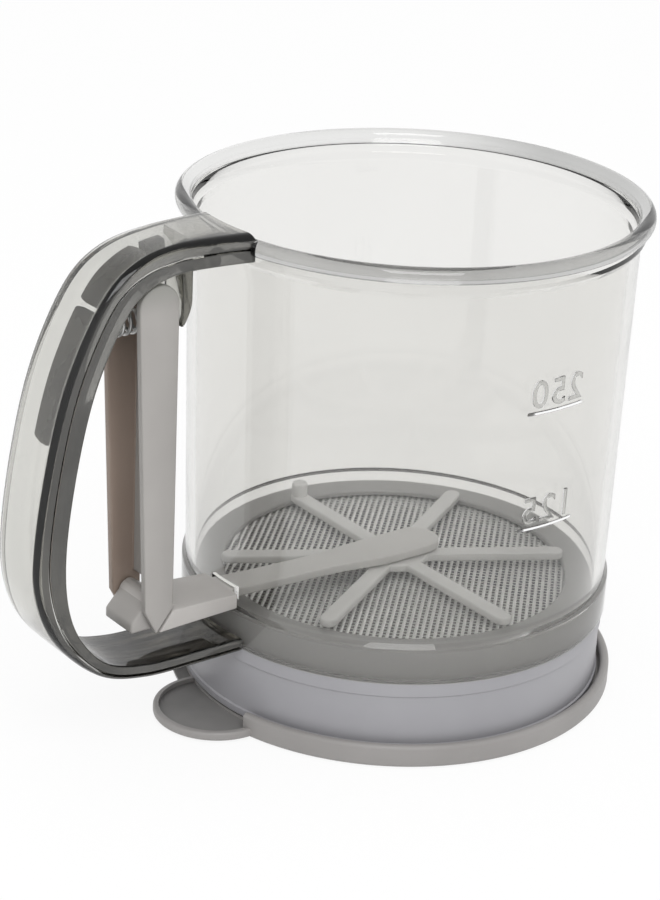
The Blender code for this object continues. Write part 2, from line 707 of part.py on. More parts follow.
def make_push_arm():
    heel, tip, mitre = toe_points()
    shift = MITRE_GAP * math.hypot(mitre[0] - tip[0], mitre[1] - tip[1]) / (mitre[1] - tip[1])
    slope = (mitre[0] - tip[0]) / (mitre[1] - tip[1])
    top_x = tip[0] + shift + slope * ARM_END_HEIGHT
    block_x = -(wall_radius(ARM_END_TOP) + GAP)
    wall_top = ARM_FLOOR + ARM_WALL_HEIGHT
    hub_x = ARM_PAST_CENTRE - ARM_HUB_WIDTH / 2
    side = [
        (tip[0] + shift, ARM_FLOOR),
        (block_x, ARM_FLOOR),
        (block_x, wall_top - ARM_STRIP),
        (-hub_x, ARM_FLOOR),
        (ARM_PAST_CENTRE, ARM_FLOOR),
        (ARM_PAST_CENTRE, ARM_FLOOR + ARM_HUB_HEIGHT),
        (-hub_x, ARM_FLOOR + ARM_HUB_HEIGHT),
        (block_x, wall_top),
        (top_x, ARM_END_TOP),
    ]
    plan = arc((hub_x, 0), ARM_HUB_WIDTH / 2, -90, 90, 12)
    plan += [
        (-hub_x, ARM_HUB_WIDTH / 2),
        (-STAR_RADIUS / 2, ARM_SLOT_WIDTH / 2),
        (block_x, ARM_SLOT_WIDTH / 2),
        (block_x, ARM_WALL_WIDTH / 2),
        (tip[0], TRIGGER_WIDTH / 2),
    ]
    plan += [(x, -y) for x, y in reversed(plan[-5:])]
    upright = plate_mesh(side, -TRIGGER_WIDTH, TRIGGER_WIDTH)
    flat = plate_mesh(plan, ARM_FLOOR - WALL, ARM_END_TOP + WALL, along="Z")
    body = joined("arm", [upright, flat], "INTERSECT")
    tongue_half = TRIGGER_WIDTH / 2 - TRIGGER_WALL - GAP
    root = TRIGGER_FRONT + ARM_EYE_RADIUS
    tongue = arc((LINK_PIN.x, LINK_PIN.z), ARM_EYE_RADIUS, 60, 240, 10)
    tongue += [(tip[0] + 2 * shift, ARM_FLOOR), (root, ARM_FLOOR), (root, ARM_END_TOP - GAP)]
    body = joined("arm", [body, plate_mesh(tongue, -tongue_half, tongue_half)])
    pin_hole = pin_mesh(LINK_PIN, LINK_PIN_RADIUS + GAP, TRIGGER_WIDTH)
    rivet_hole_top = ARM_FLOOR + RIVET_HOLE_DEPTH
    rivet_hole = cylinder_mesh(RIVET_RADIUS + GAP, ARM_FLOOR - WALL, rivet_hole_top)
    body = joined("arm", [body, pin_hole, rivet_hole], "DIFFERENCE")
    add("push_arm", body, grey_plastic)

    tip_round = SPOKE_WIDTH / 2
    step = 360 / SPOKES
    spread = math.degrees(math.asin(tip_round / STAR_HUB_RADIUS))
    outline = []
    for k in range(SPOKES):
        turn = 180 + (k + 0.5) * step
        outline += [polar(STAR_HUB_RADIUS, turn - step / 2), polar(STAR_HUB_RADIUS, turn - spread)]
        outline += arc(polar(STAR_RADIUS - tip_round, turn), tip_round, turn - 90, turn + 90, 6)
        outline += [polar(STAR_HUB_RADIUS, turn + spread)]
    star = plate_mesh(outline, STAR_FLOOR, STAR_TOP, along="Z")
    hole = cylinder_mesh(RIVET_RADIUS + GAP, STAR_FLOOR - WALL, STAR_TOP + WALL)
    add("agitator_star", joined("star", [star, hole], "DIFFERENCE"), grey_plastic)

    head_top = STAR_FLOOR - GAP
    head_low = head_top - RIVET_HEAD_HEIGHT
    shank_top = rivet_hole_top - GAP
    rivet = [
        (0, shank_top),
        (RIVET_RADIUS, shank_top),
        (RIVET_RADIUS, head_top),
        (RIVET_HEAD_RADIUS, head_top),
        (RIVET_HEAD_RADIUS, head_low),
        (0, head_low),
    ]
    add("star_rivet", turned_mesh(rivet, 24), steel)


make_cup()
make_sieve()
make_lid()
make_handle()
make_trigger()
make_spring()
make_push_arm()
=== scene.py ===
import math

import bpy
from mathutils import Matrix, Quaternion, Vector


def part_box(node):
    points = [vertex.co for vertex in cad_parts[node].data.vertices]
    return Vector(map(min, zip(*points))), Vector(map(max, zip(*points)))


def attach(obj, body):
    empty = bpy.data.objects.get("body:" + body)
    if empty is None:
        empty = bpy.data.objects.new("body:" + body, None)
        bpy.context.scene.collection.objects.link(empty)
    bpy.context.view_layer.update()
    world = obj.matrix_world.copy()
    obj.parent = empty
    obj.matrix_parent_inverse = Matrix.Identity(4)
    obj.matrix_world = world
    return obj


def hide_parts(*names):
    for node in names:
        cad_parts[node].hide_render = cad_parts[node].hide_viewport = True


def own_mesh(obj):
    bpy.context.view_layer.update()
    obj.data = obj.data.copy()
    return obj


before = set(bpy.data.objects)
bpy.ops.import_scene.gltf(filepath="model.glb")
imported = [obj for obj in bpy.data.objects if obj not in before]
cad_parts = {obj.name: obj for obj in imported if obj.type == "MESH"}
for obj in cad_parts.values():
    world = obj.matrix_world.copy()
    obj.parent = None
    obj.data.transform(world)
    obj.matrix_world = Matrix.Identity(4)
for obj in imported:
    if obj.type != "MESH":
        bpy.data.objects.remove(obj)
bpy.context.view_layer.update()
print("frame loaded:", ", ".join(sorted(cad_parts)))


# small helpers for modelling by hand

def clearSelection():
    if bpy.context.mode != "OBJECT":
        bpy.ops.object.mode_set(mode="OBJECT")
    bpy.ops.object.select_all(action="DESELECT")


def pick(piece):
    clearSelection()
    piece.select_set(True)
    bpy.context.view_layer.objects.active = piece


def editAll(piece):
    pick(piece)
    bpy.ops.object.mode_set(mode="EDIT")
    bpy.ops.mesh.select_all(action="SELECT")


def leaveEdit():
    bpy.ops.object.mode_set(mode="OBJECT")


# into edit mode with only the corners that pass the test selected
def editCorners(piece, test):
    editAll(piece)
    bpy.ops.mesh.select_mode(type="VERT")
    bpy.ops.mesh.select_all(action="DESELECT")
    leaveEdit()
    for vertex in piece.data.vertices:
        vertex.select = test(vertex.co)
    bpy.ops.object.mode_set(mode="EDIT")


# points along an arc
def bow(centreRadius, centreHeight, radius, startDegrees, endDegrees, count):
    points = []
    for i in range(count + 1):
        turn = math.radians(startDegrees + (endDegrees - startDegrees) * i / count)
        points.append((centreRadius + radius * math.cos(turn), centreHeight + radius * math.sin(turn)))
    return points


# a turned piece: a circle extruded from ring to ring, (radius, height) each
def turnPiece(name, sides, rings, solid=False):
    axisRadius = 0.0000005          # a point on the axis
    rings = [(max(radius, axisRadius), height) for radius, height in rings]
    clearSelection()
    radius, height = rings[0]
    bpy.ops.mesh.primitive_circle_add(vertices=sides, radius=radius, location=(0, 0, height))
    piece = bpy.context.object
    piece.name = name
    bpy.ops.object.transform_apply(location=True, rotation=True, scale=True)
    bpy.ops.object.mode_set(mode="EDIT")
    bpy.ops.mesh.select_all(action="SELECT")
    for nextRadius, nextHeight in rings[1:] + ([] if solid else rings[:1]):
        bpy.ops.mesh.extrude_edges_move(TRANSFORM_OT_translate={"value": (0, 0, nextHeight - height)})
        grow = nextRadius / radius
        bpy.ops.transform.resize(value=(grow, grow, 1), center_override=(0, 0, nextHeight))
        radius, height = nextRadius, nextHeight
    bpy.ops.mesh.select_all(action="SELECT")
    bpy.ops.mesh.remove_doubles(threshold=0.000002)
    bpy.ops.mesh.normals_make_consistent(inside=False)
    leaveEdit()
    return piece


def blockPiece(name, low, high):
    clearSelection()
    low, high = Vector(low), Vector(high)
    bpy.ops.mesh.primitive_cube_add(size=1, location=(low + high) / 2)
    piece = bpy.context.object
    piece.name = name
    piece.scale = high - low
    bpy.ops.object.transform_apply(location=True, rotation=True, scale=True)
    return piece


def drumPiece(name, radius, low, high, centre, sides=96):
    clearSelection()
    bpy.ops.mesh.primitive_cylinder_add(
        vertices=sides, radius=radius, depth=high - low, location=(*centre, (low + high) / 2))
    piece = bpy.context.object
    piece.name = name
    bpy.ops.object.transform_apply(location=True, rotation=True, scale=True)
    return piece


def combine(piece, tool, operation="DIFFERENCE"):
    pick(piece)
    step = piece.modifiers.new("combine", "BOOLEAN")
    step.operation = operation
    step.solver = "EXACT"
    step.object = tool
    bpy.ops.object.modifier_apply(modifier="combine")
    bpy.data.objects.remove(tool, do_unlink=True)
    return piece


def roundEdges(piece, width, segments=3, angle=30):
    pick(piece)
    step = piece.modifiers.new("edges", "BEVEL")
    step.width = width
    step.segments = segments
    step.limit_method = "ANGLE"
    step.angle_limit = math.radians(angle)
    step.use_clamp_overlap = False
    bpy.ops.object.modifier_apply(modifier="edges")
    return piece


# a merged copy of a CAD node, ready for rounded edges
def nodeCopy(node, name):
    piece = bpy.data.objects.new(name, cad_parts[node].data.copy())
    bpy.context.scene.collection.objects.link(piece)
    editAll(piece)
    bpy.ops.mesh.customdata_custom_splitnormals_clear()
    bpy.ops.mesh.remove_doubles(threshold=0.000002)
    bpy.ops.mesh.dissolve_limited(angle_limit=math.radians(0.6))
    leaveEdit()
    return piece


def finishPiece(piece, material, body, replaced=(), smoothAngle=32):
    pick(piece)
    bpy.ops.object.shade_smooth_by_angle(angle=math.radians(smoothAngle))
    piece.data.materials.clear()
    piece.data.materials.append(material)
    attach(piece, body)
    if replaced:
        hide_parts(*replaced)
    return piece


# a second material on the faces that pass the test
def paintFaces(piece, material, test):
    piece.data.materials.append(material)
    for face in piece.data.polygons:
        if test(face.normal, face.center):
            face.material_index = 1


# materials

def startMaterial(name):
    material = bpy.data.materials.new(name)
    material.use_nodes = True
    tree = material.node_tree
    return material, tree, tree.nodes["Principled BSDF"]


def objectPlace(tree, stretch=(1, 1, 1), turn=(0, 0, 0)):
    place = tree.nodes.new("ShaderNodeTexCoord")
    mapping = tree.nodes.new("ShaderNodeMapping")
    mapping.inputs["Scale"].default_value = stretch
    mapping.inputs["Rotation"].default_value = turn
    tree.links.new(place.outputs["Object"], mapping.inputs["Vector"])
    return mapping.outputs["Vector"]


def noise(tree, vector, scale, detail=3.0):
    node = tree.nodes.new("ShaderNodeTexNoise")
    node.inputs["Scale"].default_value = scale
    node.inputs["Detail"].default_value = detail
    tree.links.new(vector, node.inputs["Vector"])
    return node.outputs["Fac"]


def ramp(tree, factor, stops):
    node = tree.nodes.new("ShaderNodeValToRGB")
    line = node.color_ramp
    while len(line.elements) < len(stops):
        line.elements.new(0.5)
    for element, (position, colour) in zip(line.elements, stops):
        element.position = position
        element.color = (*colour, 1)
    tree.links.new(factor, node.inputs["Fac"])
    return node.outputs["Color"]


def spread(tree, factor, low, high):
    node = tree.nodes.new("ShaderNodeMapRange")
    node.inputs["To Min"].default_value = low
    node.inputs["To Max"].default_value = high
    tree.links.new(factor, node.inputs["Value"])
    return node.outputs["Result"]


def bump(tree, shader, height, strength, distance):
    node = tree.nodes.new("ShaderNodeBump")
    node.inputs["Strength"].default_value = strength
    node.inputs["Distance"].default_value = distance
    tree.links.new(height, node.inputs["Height"])
    tree.links.new(node.outputs["Normal"], shader.inputs["Normal"])


# clear or smoky moulded plastic: a faint waviness, and a tint that deepens with thickness
def mouldedClear(name, look):
    material, tree, shader = startMaterial(name)
    vector = objectPlace(tree)
    flow = noise(tree, vector, look["flowScale"])
    tint = ramp(tree, flow, [(0.3, look["tintLow"]), (0.7, look["tintHigh"])])
    tree.links.new(tint, shader.inputs["Base Color"])
    tree.links.new(spread(tree, flow, *look["roughness"]), shader.inputs["Roughness"])
    bump(tree, shader, noise(tree, vector, look["waveScale"], 1.0), look["waveStrength"], 0.001)
    shader.inputs["Transmission Weight"].default_value = look.get("clear", 1.0)
    shader.inputs["IOR"].default_value = look["ior"]
    depth = tree.nodes.new("ShaderNodeVolumeAbsorption")
    depth.inputs["Color"].default_value = (*look["depthColour"], 1)
    depth.inputs["Density"].default_value = look["depthDensity"]
    tree.links.new(depth.outputs["Volume"], tree.nodes["Material Output"].inputs["Volume"])
    return material


# satin moulded plastic: fine grain, soft blotches of tone
def mouldedSatin(name, look):
    material, tree, shader = startMaterial(name)
    vector = objectPlace(tree)
    blotch = noise(tree, vector, look["blotchScale"])
    tone = ramp(tree, blotch, [(0.35, look["dark"]), (0.65, look["light"])])
    tree.links.new(tone, shader.inputs["Base Color"])
    tree.links.new(spread(tree, blotch, *look["roughness"]), shader.inputs["Roughness"])
    bump(tree, shader, noise(tree, vector, look["grainScale"], 2.0), look["grainStrength"], 0.0001)
    shader.inputs["IOR"].default_value = 1.46
    return material


# a second tone, blended in between two places along one axis
def addTone(material, axis, low, high, colour, share, streak=None):
    tree = material.node_tree
    shader = tree.nodes["Principled BSDF"]
    base = shader.inputs["Base Color"].links[0].from_socket
    place = tree.nodes.new("ShaderNodeTexCoord")
    split = tree.nodes.new("ShaderNodeSeparateXYZ")
    tree.links.new(place.outputs["Object"], split.inputs["Vector"])
    band = tree.nodes.new("ShaderNodeMapRange")
    band.interpolation_type = "SMOOTHSTEP"
    band.inputs["From Min"].default_value = low
    band.inputs["From Max"].default_value = high
    band.inputs["To Max"].default_value = share
    tree.links.new(split.outputs[axis], band.inputs["Value"])
    mix = tree.nodes.new("ShaderNodeMix")
    mix.data_type = "RGBA"
    mix.inputs["B"].default_value = (*colour, 1)
    if streak:                                          # long streaks of a deeper painted shade
        lines = noise(tree, objectPlace(tree, (0.08, 1, 0.3)), 700, 2.0)
        tree.links.new(ramp(tree, lines, [(0.40, streak), (0.62, colour)]), mix.inputs["B"])
    tree.links.new(band.outputs["Result"], mix.inputs["Factor"])
    tree.links.new(base, mix.inputs["A"])
    tree.links.new(mix.outputs["Result"], shader.inputs["Base Color"])


# drawn wire and pins: fine streaks
def drawnSteel(name, look):
    material, tree, shader = startMaterial(name)
    vector = objectPlace(tree, look["stretch"], look["turn"])
    streak = noise(tree, vector, look["streakScale"], 4.0)
    tone = ramp(tree, streak, [(0.3, look["dark"]), (0.7, look["light"])])
    tree.links.new(tone, shader.inputs["Base Color"])
    tree.links.new(spread(tree, streak, *look["roughness"]), shader.inputs["Roughness"])
    shader.inputs["Metallic"].default_value = look["metallic"]
    return material


cupClear = mouldedClear("cupClear", {
    "tintLow": (0.872, 0.868, 0.852), "tintHigh": (0.892, 0.888, 0.872), "flowScale": 30,
    "roughness": (0.015, 0.04), "waveScale": 55, "waveStrength": 0.02, "ior": 1.45,
    "depthColour": (0.50, 0.49, 0.46), "depthDensity": 26,
})
# painted shade: the rim bead gets a darker tint than the cup's wall
rimShadedClear = mouldedClear("rimShadedClear", {
    "tintLow": (0.53, 0.53, 0.523), "tintHigh": (0.59, 0.59, 0.583), "flowScale": 30,
    "roughness": (0.02, 0.05), "waveScale": 55, "waveStrength": 0.02, "ior": 1.45,
    "depthColour": (0.50, 0.49, 0.46), "depthDensity": 16,
})
# painted shade: the raised digits and lines get a darker tint than the wall
markShadedClear = mouldedClear("markShadedClear", {
    "tintLow": (0.66, 0.66, 0.65), "tintHigh": (0.74, 0.74, 0.73), "flowScale": 60,
    "roughness": (0.04, 0.10), "waveScale": 90, "waveStrength": 0.03, "ior": 1.49,
    "depthColour": (0.50, 0.49, 0.46), "depthDensity": 16,
})
handleClear = mouldedClear("handleClear", {
    "tintLow": (0.95, 0.95, 0.94), "tintHigh": (0.98, 0.98, 0.97), "flowScale": 40,
    "roughness": (0.02, 0.05), "waveScale": 70, "waveStrength": 0.03, "ior": 1.49,
    "depthColour": (0.48, 0.47, 0.43), "depthDensity": 150,
})
handleSmoke = mouldedClear("handleSmoke", {
    "tintLow": (0.93, 0.93, 0.91), "tintHigh": (0.97, 0.97, 0.95), "flowScale": 40,
    "roughness": (0.02, 0.06), "waveScale": 80, "waveStrength": 0.05, "ior": 1.49,
    "depthColour": (0.46, 0.45, 0.41), "depthDensity": 130,
})
# painted shade for the handle's near side
handleSideShade = mouldedClear("handleSideShade", {
    "tintLow": (0.11, 0.108, 0.10), "tintHigh": (0.18, 0.177, 0.168), "flowScale": 90, "clear": 0.55,
    "roughness": (0.03, 0.08), "waveScale": 80, "waveStrength": 0.05, "ior": 1.49,
    "depthColour": (0.46, 0.45, 0.41), "depthDensity": 45,
})
lugSmoke = mouldedClear("lugSmoke", {
    "tintLow": (0.70, 0.70, 0.67), "tintHigh": (0.88, 0.88, 0.85), "flowScale": 260,
    "roughness": (0.03, 0.08), "waveScale": 80, "waveStrength": 0.05, "ior": 1.49,
    "depthColour": (0.46, 0.45, 0.41), "depthDensity": 240,
})
insertDark = mouldedSatin("insertDark", {
    "dark": (0.055, 0.051, 0.042), "light": (0.105, 0.098, 0.082), "blotchScale": 160,
    "roughness": (0.20, 0.35), "grainScale": 900, "grainStrength": 0.10,
})
triggerGrey = mouldedSatin("triggerGrey", {
    "dark": (0.330, 0.316, 0.302), "light": (0.370, 0.355, 0.340), "blotchScale": 45,
    "roughness": (0.38, 0.50), "grainScale": 2600, "grainStrength": 0.10,
})
# painted warm shade for the inside of the trigger's channel
triggerWarmShade = mouldedSatin("triggerWarmShade", {
    "dark": (0.290, 0.226, 0.187), "light": (0.318, 0.251, 0.209), "blotchScale": 45,
    "roughness": (0.38, 0.50), "grainScale": 2600, "grainStrength": 0.10,
})
armGrey = mouldedSatin("armGrey", {
    "dark": (0.405, 0.388, 0.372), "light": (0.450, 0.432, 0.415), "blotchScale": 45,
    "roughness": (0.38, 0.50), "grainScale": 2600, "grainStrength": 0.10,
})
starGrey = mouldedSatin("starGrey", {
    "dark": (0.690, 0.685, 0.672), "light": (0.750, 0.745, 0.732), "blotchScale": 60,
    "roughness": (0.36, 0.48), "grainScale": 2600, "grainStrength": 0.10,
})
lidGrey = mouldedSatin("lidGrey", {
    "dark": (0.270, 0.259, 0.252), "light": (0.302, 0.290, 0.283), "blotchScale": 40,
    "roughness": (0.36, 0.48), "grainScale": 2400, "grainStrength": 0.12,
})
lidShade = mouldedSatin("lidShade", {
    "dark": (0.160, 0.156, 0.152), "light": (0.215, 0.210, 0.205), "blotchScale": 70,
    "roughness": (0.40, 0.52), "grainScale": 2400, "grainStrength": 0.12,
})
ringGrey = mouldedSatin("ringGrey", {
    "dark": (0.300, 0.297, 0.315), "light": (0.330, 0.327, 0.345), "blotchScale": 35,
    "roughness": (0.32, 0.42), "grainScale": 2400, "grainStrength": 0.08,
})
addTone(rimShadedClear, "Y", 0.0100, 0.0380, (0.84, 0.84, 0.832), 1.0)         # painted light: the far rim is paler
addTone(handleClear, "X", -0.0640, -0.0500, (0.74, 0.735, 0.72), 1.0)    # darker towards the rim
for plastic in (handleClear, handleSmoke):                               # painted shade in the lower arm, in dark streaks
    addTone(plastic, "Z", 0.0320, 0.0235, (0.44, 0.425, 0.39), 1.0, (0.05, 0.045, 0.038))
addTone(armGrey, "X", -0.0440, -0.0400, (0.640, 0.630, 0.615), 1.0)      # painted light: paler inside the cup
addTone(triggerGrey, "Z", 0.0885, 0.0935, (0.265, 0.265, 0.245), 0.8)    # painted shade: dimmer under the arm
addTone(ringGrey, "Z", 0.0164, 0.0168, (0.365, 0.360, 0.352), 1.0)       # neutral above the skirt
wireSteel = drawnSteel("wireSteel", {
    "dark": (0.80, 0.80, 0.785), "light": (0.95, 0.95, 0.935), "streakScale": 400, "metallic": 0.3,
    "stretch": (1, 1, 1), "turn": (0, 0, 0), "roughness": (0.30, 0.42),
})
pinSteel = drawnSteel("pinSteel", {
    "dark": (0.45, 0.45, 0.45), "light": (0.65, 0.65, 0.65), "streakScale": 300, "metallic": 1.0,
    "stretch": (8, 1, 8), "turn": (0, 0, 0), "roughness": (0.22, 0.34),
})
springSteel = drawnSteel("springSteel", {
    "dark": (0.30, 0.30, 0.30), "light": (0.70, 0.70, 0.69), "streakScale": 300, "metallic": 0.9,
    "stretch": (1, 1, 1), "turn": (0, 0, 0), "roughness": (0.28, 0.40),
})
print("materials ready:", len(bpy.data.materials))


# cup: rolled rim, stepped collar, tapered wall, foot band and the arm's slot
cupLow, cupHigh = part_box("cup_body")
cup = {
    "sides": 192, "bead": 0.0016, "collarHeight": 0.0030, "collarStep": 0.0009,
    "wallTop": 0.0438, "wallFoot": 0.0424, "wall": 0.0019, "bandStep": 0.0008, "bandHeight": 0.0073,
    "slotHalf": 0.0038, "slotLow": 0.0259, "slotHigh": 0.0287, "seat": 0.0003, "soft": 0.0003,
    "wallSteps": (0.08, 0.05), "rimBreak": 0.0092, "rimBreakReach": 0.0445,
}


def wallRadius(height):
    share = (height - cupLow.z) / (cupHigh.z - cup["collarHeight"] - cupLow.z)
    return cup["wallFoot"] + share * (cup["wallTop"] - cup["wallFoot"])


def makeCup():
    bead, step, wall = cup["bead"], cup["collarStep"], cup["wall"]
    collarTop = cupHigh.z - 2 * bead
    collarLow = collarTop - cup["collarHeight"]
    collarRadius = wallRadius(collarLow) + step
    bandTop = cupLow.z + cup["bandHeight"]
    bandRadius = cup["wallFoot"] + cup["bandStep"]
    soft = cup["soft"]              # rounding of the small steps
    rings = bow(collarRadius - soft, collarTop + cup["seat"] - soft, soft, 90, 0, 3)
    rings += [(collarRadius, collarLow + step + soft)]
    rings += [(wallRadius(height), height) for height in (collarLow, *cup["wallSteps"])]
    rings += [(wallRadius(bandTop), bandTop + cup["bandStep"])]
    rings += bow(bandRadius - soft, bandTop - soft, soft, 60, 0, 3)
    rings += bow(bandRadius - soft, cupLow.z + soft, soft, 0, -90, 4)
    rings += [(cup["wallFoot"] - wall, cupLow.z), (wallRadius(bandTop) - wall, bandTop)]
    inside = (*reversed(cup["wallSteps"]), collarLow - 2 * soft, collarLow)
    rings += [(wallRadius(height) - wall, height) for height in inside]
    rings += bow(cupHigh.x - 2 * bead + soft, collarTop + cup["seat"] - soft, soft, 180, 90, 3)
    piece = turnPiece("cupShell", cup["sides"], rings)
    far = 3 * wall
    slotCut = blockPiece("slotCut", (-bandRadius - far, -cup["slotHalf"], cup["slotLow"]),
                         (-bandRadius + 2 * far, cup["slotHalf"], cup["slotHigh"]))
    combine(piece, slotCut)
    finishPiece(piece, cupClear, "cup", ["cup_body"])
    rim = turnPiece("cupRim", cup["sides"], bow(cupHigh.x - bead, cupHigh.z - bead, bead, 0, 345, 23))
    handleRoom = blockPiece("handleRoom", (-2 * cupHigh.x, -cup["rimBreak"], 0),
                            (-cupHigh.x / 2, cup["rimBreak"], 2 * cupHigh.z))
    insideRim = drumPiece("insideRim", cup["rimBreakReach"], -cupHigh.z, 3 * cupHigh.z, (0, 0), 192)
    combine(handleRoom, insideRim)
    combine(rim, handleRoom)                            # the handle's root lies over the rim here
    finishPiece(rim, rimShadedClear, "cup", ["cup_body"])
    print("cup turned:", len(piece.data.polygons) + len(rim.data.polygons), "faces")


makeCup()


# sieve ring: skirt with a fine groove, spigot inside the cup, flange over the mesh
ringLow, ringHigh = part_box("sieve_ring")
ring = {
    "sides": 160, "skirtTop": 0.0168, "skirtWall": 0.0022, "groove": 0.0028, "grooveDepth": 0.0003,
    "footBead": 0.0017, "soft": 0.00025, "keeperRound": 0.0002,
    "spigotRadius": 0.0406, "spigotWall": 0.0024, "flange": 0.0010, "meshOpening": 0.0348,
}


def makeRing():
    soft = ring["soft"]
    skirt, top = ringHigh.x, ring["skirtTop"]
    grooveZ = top - ring["groove"]
    bore = ring["spigotRadius"] - ring["spigotWall"]
    rings = [(ring["meshOpening"], ringHigh.z - soft), (ring["meshOpening"] + soft, ringHigh.z)]
    rings += bow(ring["spigotRadius"] - soft, ringHigh.z - soft, soft, 90, 0, 3)
    rings += [(ring["spigotRadius"], top)]
    rings += bow(skirt - soft, top - soft, soft, 90, 0, 3)
    rings += [(skirt, grooveZ), (skirt - ring["grooveDepth"], grooveZ - ring["grooveDepth"])]
    footTop = ringLow.z + ring["footBead"]
    rings += [(skirt - ring["grooveDepth"], footTop), (skirt, footTop - soft)]
    rings += bow(skirt - soft, ringLow.z + soft, soft, 0, -90, 3) + [(skirt - ring["skirtWall"], ringLow.z)]
    rings += [(skirt - ring["skirtWall"], top - ring["skirtWall"]), (bore, top)]
    rings += [(bore, ringHigh.z - ring["flange"]), (ring["meshOpening"], ringHigh.z - ring["flange"])]
    piece = turnPiece("sieveRing", ring["sides"], rings)
    finishPiece(piece, ringGrey, "cup", ["sieve_ring"])
    keeperLow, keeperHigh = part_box("mesh_retainer")
    rings = [(ring["meshOpening"], keeperHigh.z), (keeperHigh.x, keeperHigh.z), (keeperHigh.x, keeperLow.z)]
    rings += [(ring["meshOpening"], keeperLow.z)]
    keeper = turnPiece("meshKeeper", ring["sides"], rings)
    roundEdges(keeper, ring["keeperRound"])
    finishPiece(keeper, ringGrey, "cup", ["mesh_retainer"])
    print("sieve ring and mesh keeper turned")


makeRing()


# woven mesh: stout wires one way, thin wires over and under them the other way
meshLow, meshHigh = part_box("mesh_screen")
weave = {
    "pitch": 0.00127, "turn": 45, "stoutRadius": 0.00033, "thinRadius": 0.00011,
    "stoutRise": 0.00003, "thinRise": 0.00012, "thinDrop": 0.00022, "edge": 0.0002,
}


def weaveWires(name, radius, rise, turn, phase, drop):
    middle = (meshLow.z + meshHigh.z) / 2 - drop
    reach = meshHigh.x - weave["edge"]
    count = int(reach / weave["pitch"])
    curve = bpy.data.curves.new(name, "CURVE")
    curve.dimensions = "3D"
    curve.bevel_depth = radius
    curve.bevel_resolution = 0
    curve.use_fill_caps = True
    spin = Matrix.Rotation(math.radians(turn), 3, "Z")
    for row in range(-count, count + 1):
        across = row * weave["pitch"]
        half = math.sqrt(reach**2 - across**2)
        crossings = int(half / weave["pitch"])
        places = []
        for k in range(-crossings, crossings + 1):      # over one wire, under the next
            places.append((k * weave["pitch"], rise * (-1) ** (row + k + phase)))
        if len(places) < 2:
            continue
        line = curve.splines.new("POLY")
        line.points.add(len(places) - 1)
        for point, (along, lift) in zip(line.points, places):
            point.co = (*(spin @ Vector((along, across, middle + lift))), 1)
    wires = bpy.data.objects.new(name, curve)
    bpy.context.scene.collection.objects.link(wires)
    pick(wires)
    bpy.ops.object.convert(target="MESH")
    return wires


def makeMesh():
    stout = weaveWires("meshStoutWires", weave["stoutRadius"], weave["stoutRise"], weave["turn"], 0, 0)
    finishPiece(stout, wireSteel, "cup", ["mesh_screen"], 60)
    thin = weaveWires("meshThinWires", weave["thinRadius"], weave["thinRise"], weave["turn"] + 90, 1,
                      weave["thinDrop"])
    finishPiece(thin, wireSteel, "cup", (), 60)
    print("mesh woven:", len(stout.data.polygons) + len(thin.data.polygons), "faces")


makeMesh()


# bottom lid: dished disc with a rounded lip, a gap in the lip and the pull tab
lidLow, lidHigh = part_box("bottom_lid")
lid = {
    "sides": 192, "floor": 0.0018, "lipWidth": 0.0018, "lipRound": 0.0008, "gapNear": 13.2, "gapFar": 24.5,
    "tabRadius": 0.0123, "tabHeight": 0.0021, "tabRim": 0.0011, "tabRecess": 0.0009, "tabRound": 0.0005,
    "tabLow": 0.0003, "ringRoom": 0.0425, "filletWidth": 0.0004, "filletHeight": 0.0003,
}


def makeLid():
    outer, soft = lidHigh.x, lid["lipRound"]
    inner = outer - lid["lipWidth"]
    rings = [(0, lid["floor"]), (inner - lid["filletWidth"], lid["floor"])]
    rings += [(inner, lid["floor"] + lid["filletHeight"])]
    rings += [(inner, lidHigh.z - soft)]
    rings += bow(inner + soft, lidHigh.z - soft, soft, 180, 90, 5)[1:]
    rings += bow(outer - soft, lidHigh.z - soft, soft, 90, 0, 6)
    rings += bow(outer - soft, soft, soft, 0, -90, 6)
    rings += [(0, 0)]
    piece = turnPiece("lidDish", lid["sides"], rings, solid=True)
    far = 2 * outer
    recessFloor = lid["tabHeight"] - lid["tabRecess"]
    gap = blockPiece("lipGap", (-far, -outer, recessFloor), (0, outer, 2 * lidHigh.z))
    for vertex in gap.data.vertices:                # a wedge from the axis outwards
        side = 1 if vertex.co.y > 0 else -1
        angle = math.radians(lid["gapFar"] if side > 0 else lid["gapNear"])
        vertex.co.y = side * (abs(vertex.co.x) * math.tan(angle) + 0.00001)
    combine(gap, drumPiece("underRing", lid["ringRoom"], -lidHigh.z, 3 * lidHigh.z, (0, 0), lid["sides"]))
    combine(piece, gap)
    centre = (-inner, 0)
    tab = drumPiece("tab", lid["tabRadius"], lid["tabLow"], lid["tabHeight"], centre)
    roundEdges(tab, lid["tabRound"], 4)
    recess = drumPiece("recess", lid["tabRadius"] - lid["tabRim"], recessFloor, 2 * lid["tabHeight"], centre)
    combine(tab, recess)
    insideLip = drumPiece("insideLip", lid["ringRoom"], lid["floor"] / 2, 2 * lidHigh.z, (0, 0),
                          lid["sides"])
    combine(tab, insideLip)
    combine(piece, tab, "UNION")
    finishPiece(piece, lidGrey, "lid", ["bottom_lid"])

    def onTabFloor(normal, centre):
        return normal.z > 0.9 and abs(centre.z - recessFloor) < 0.0002 and centre.x < -inner / 2

    paintFaces(piece, lidShade, onTabFloor)         # the tab's floor lies in shade
    print("lid turned:", len(piece.data.polygons), "faces")


makeLid()


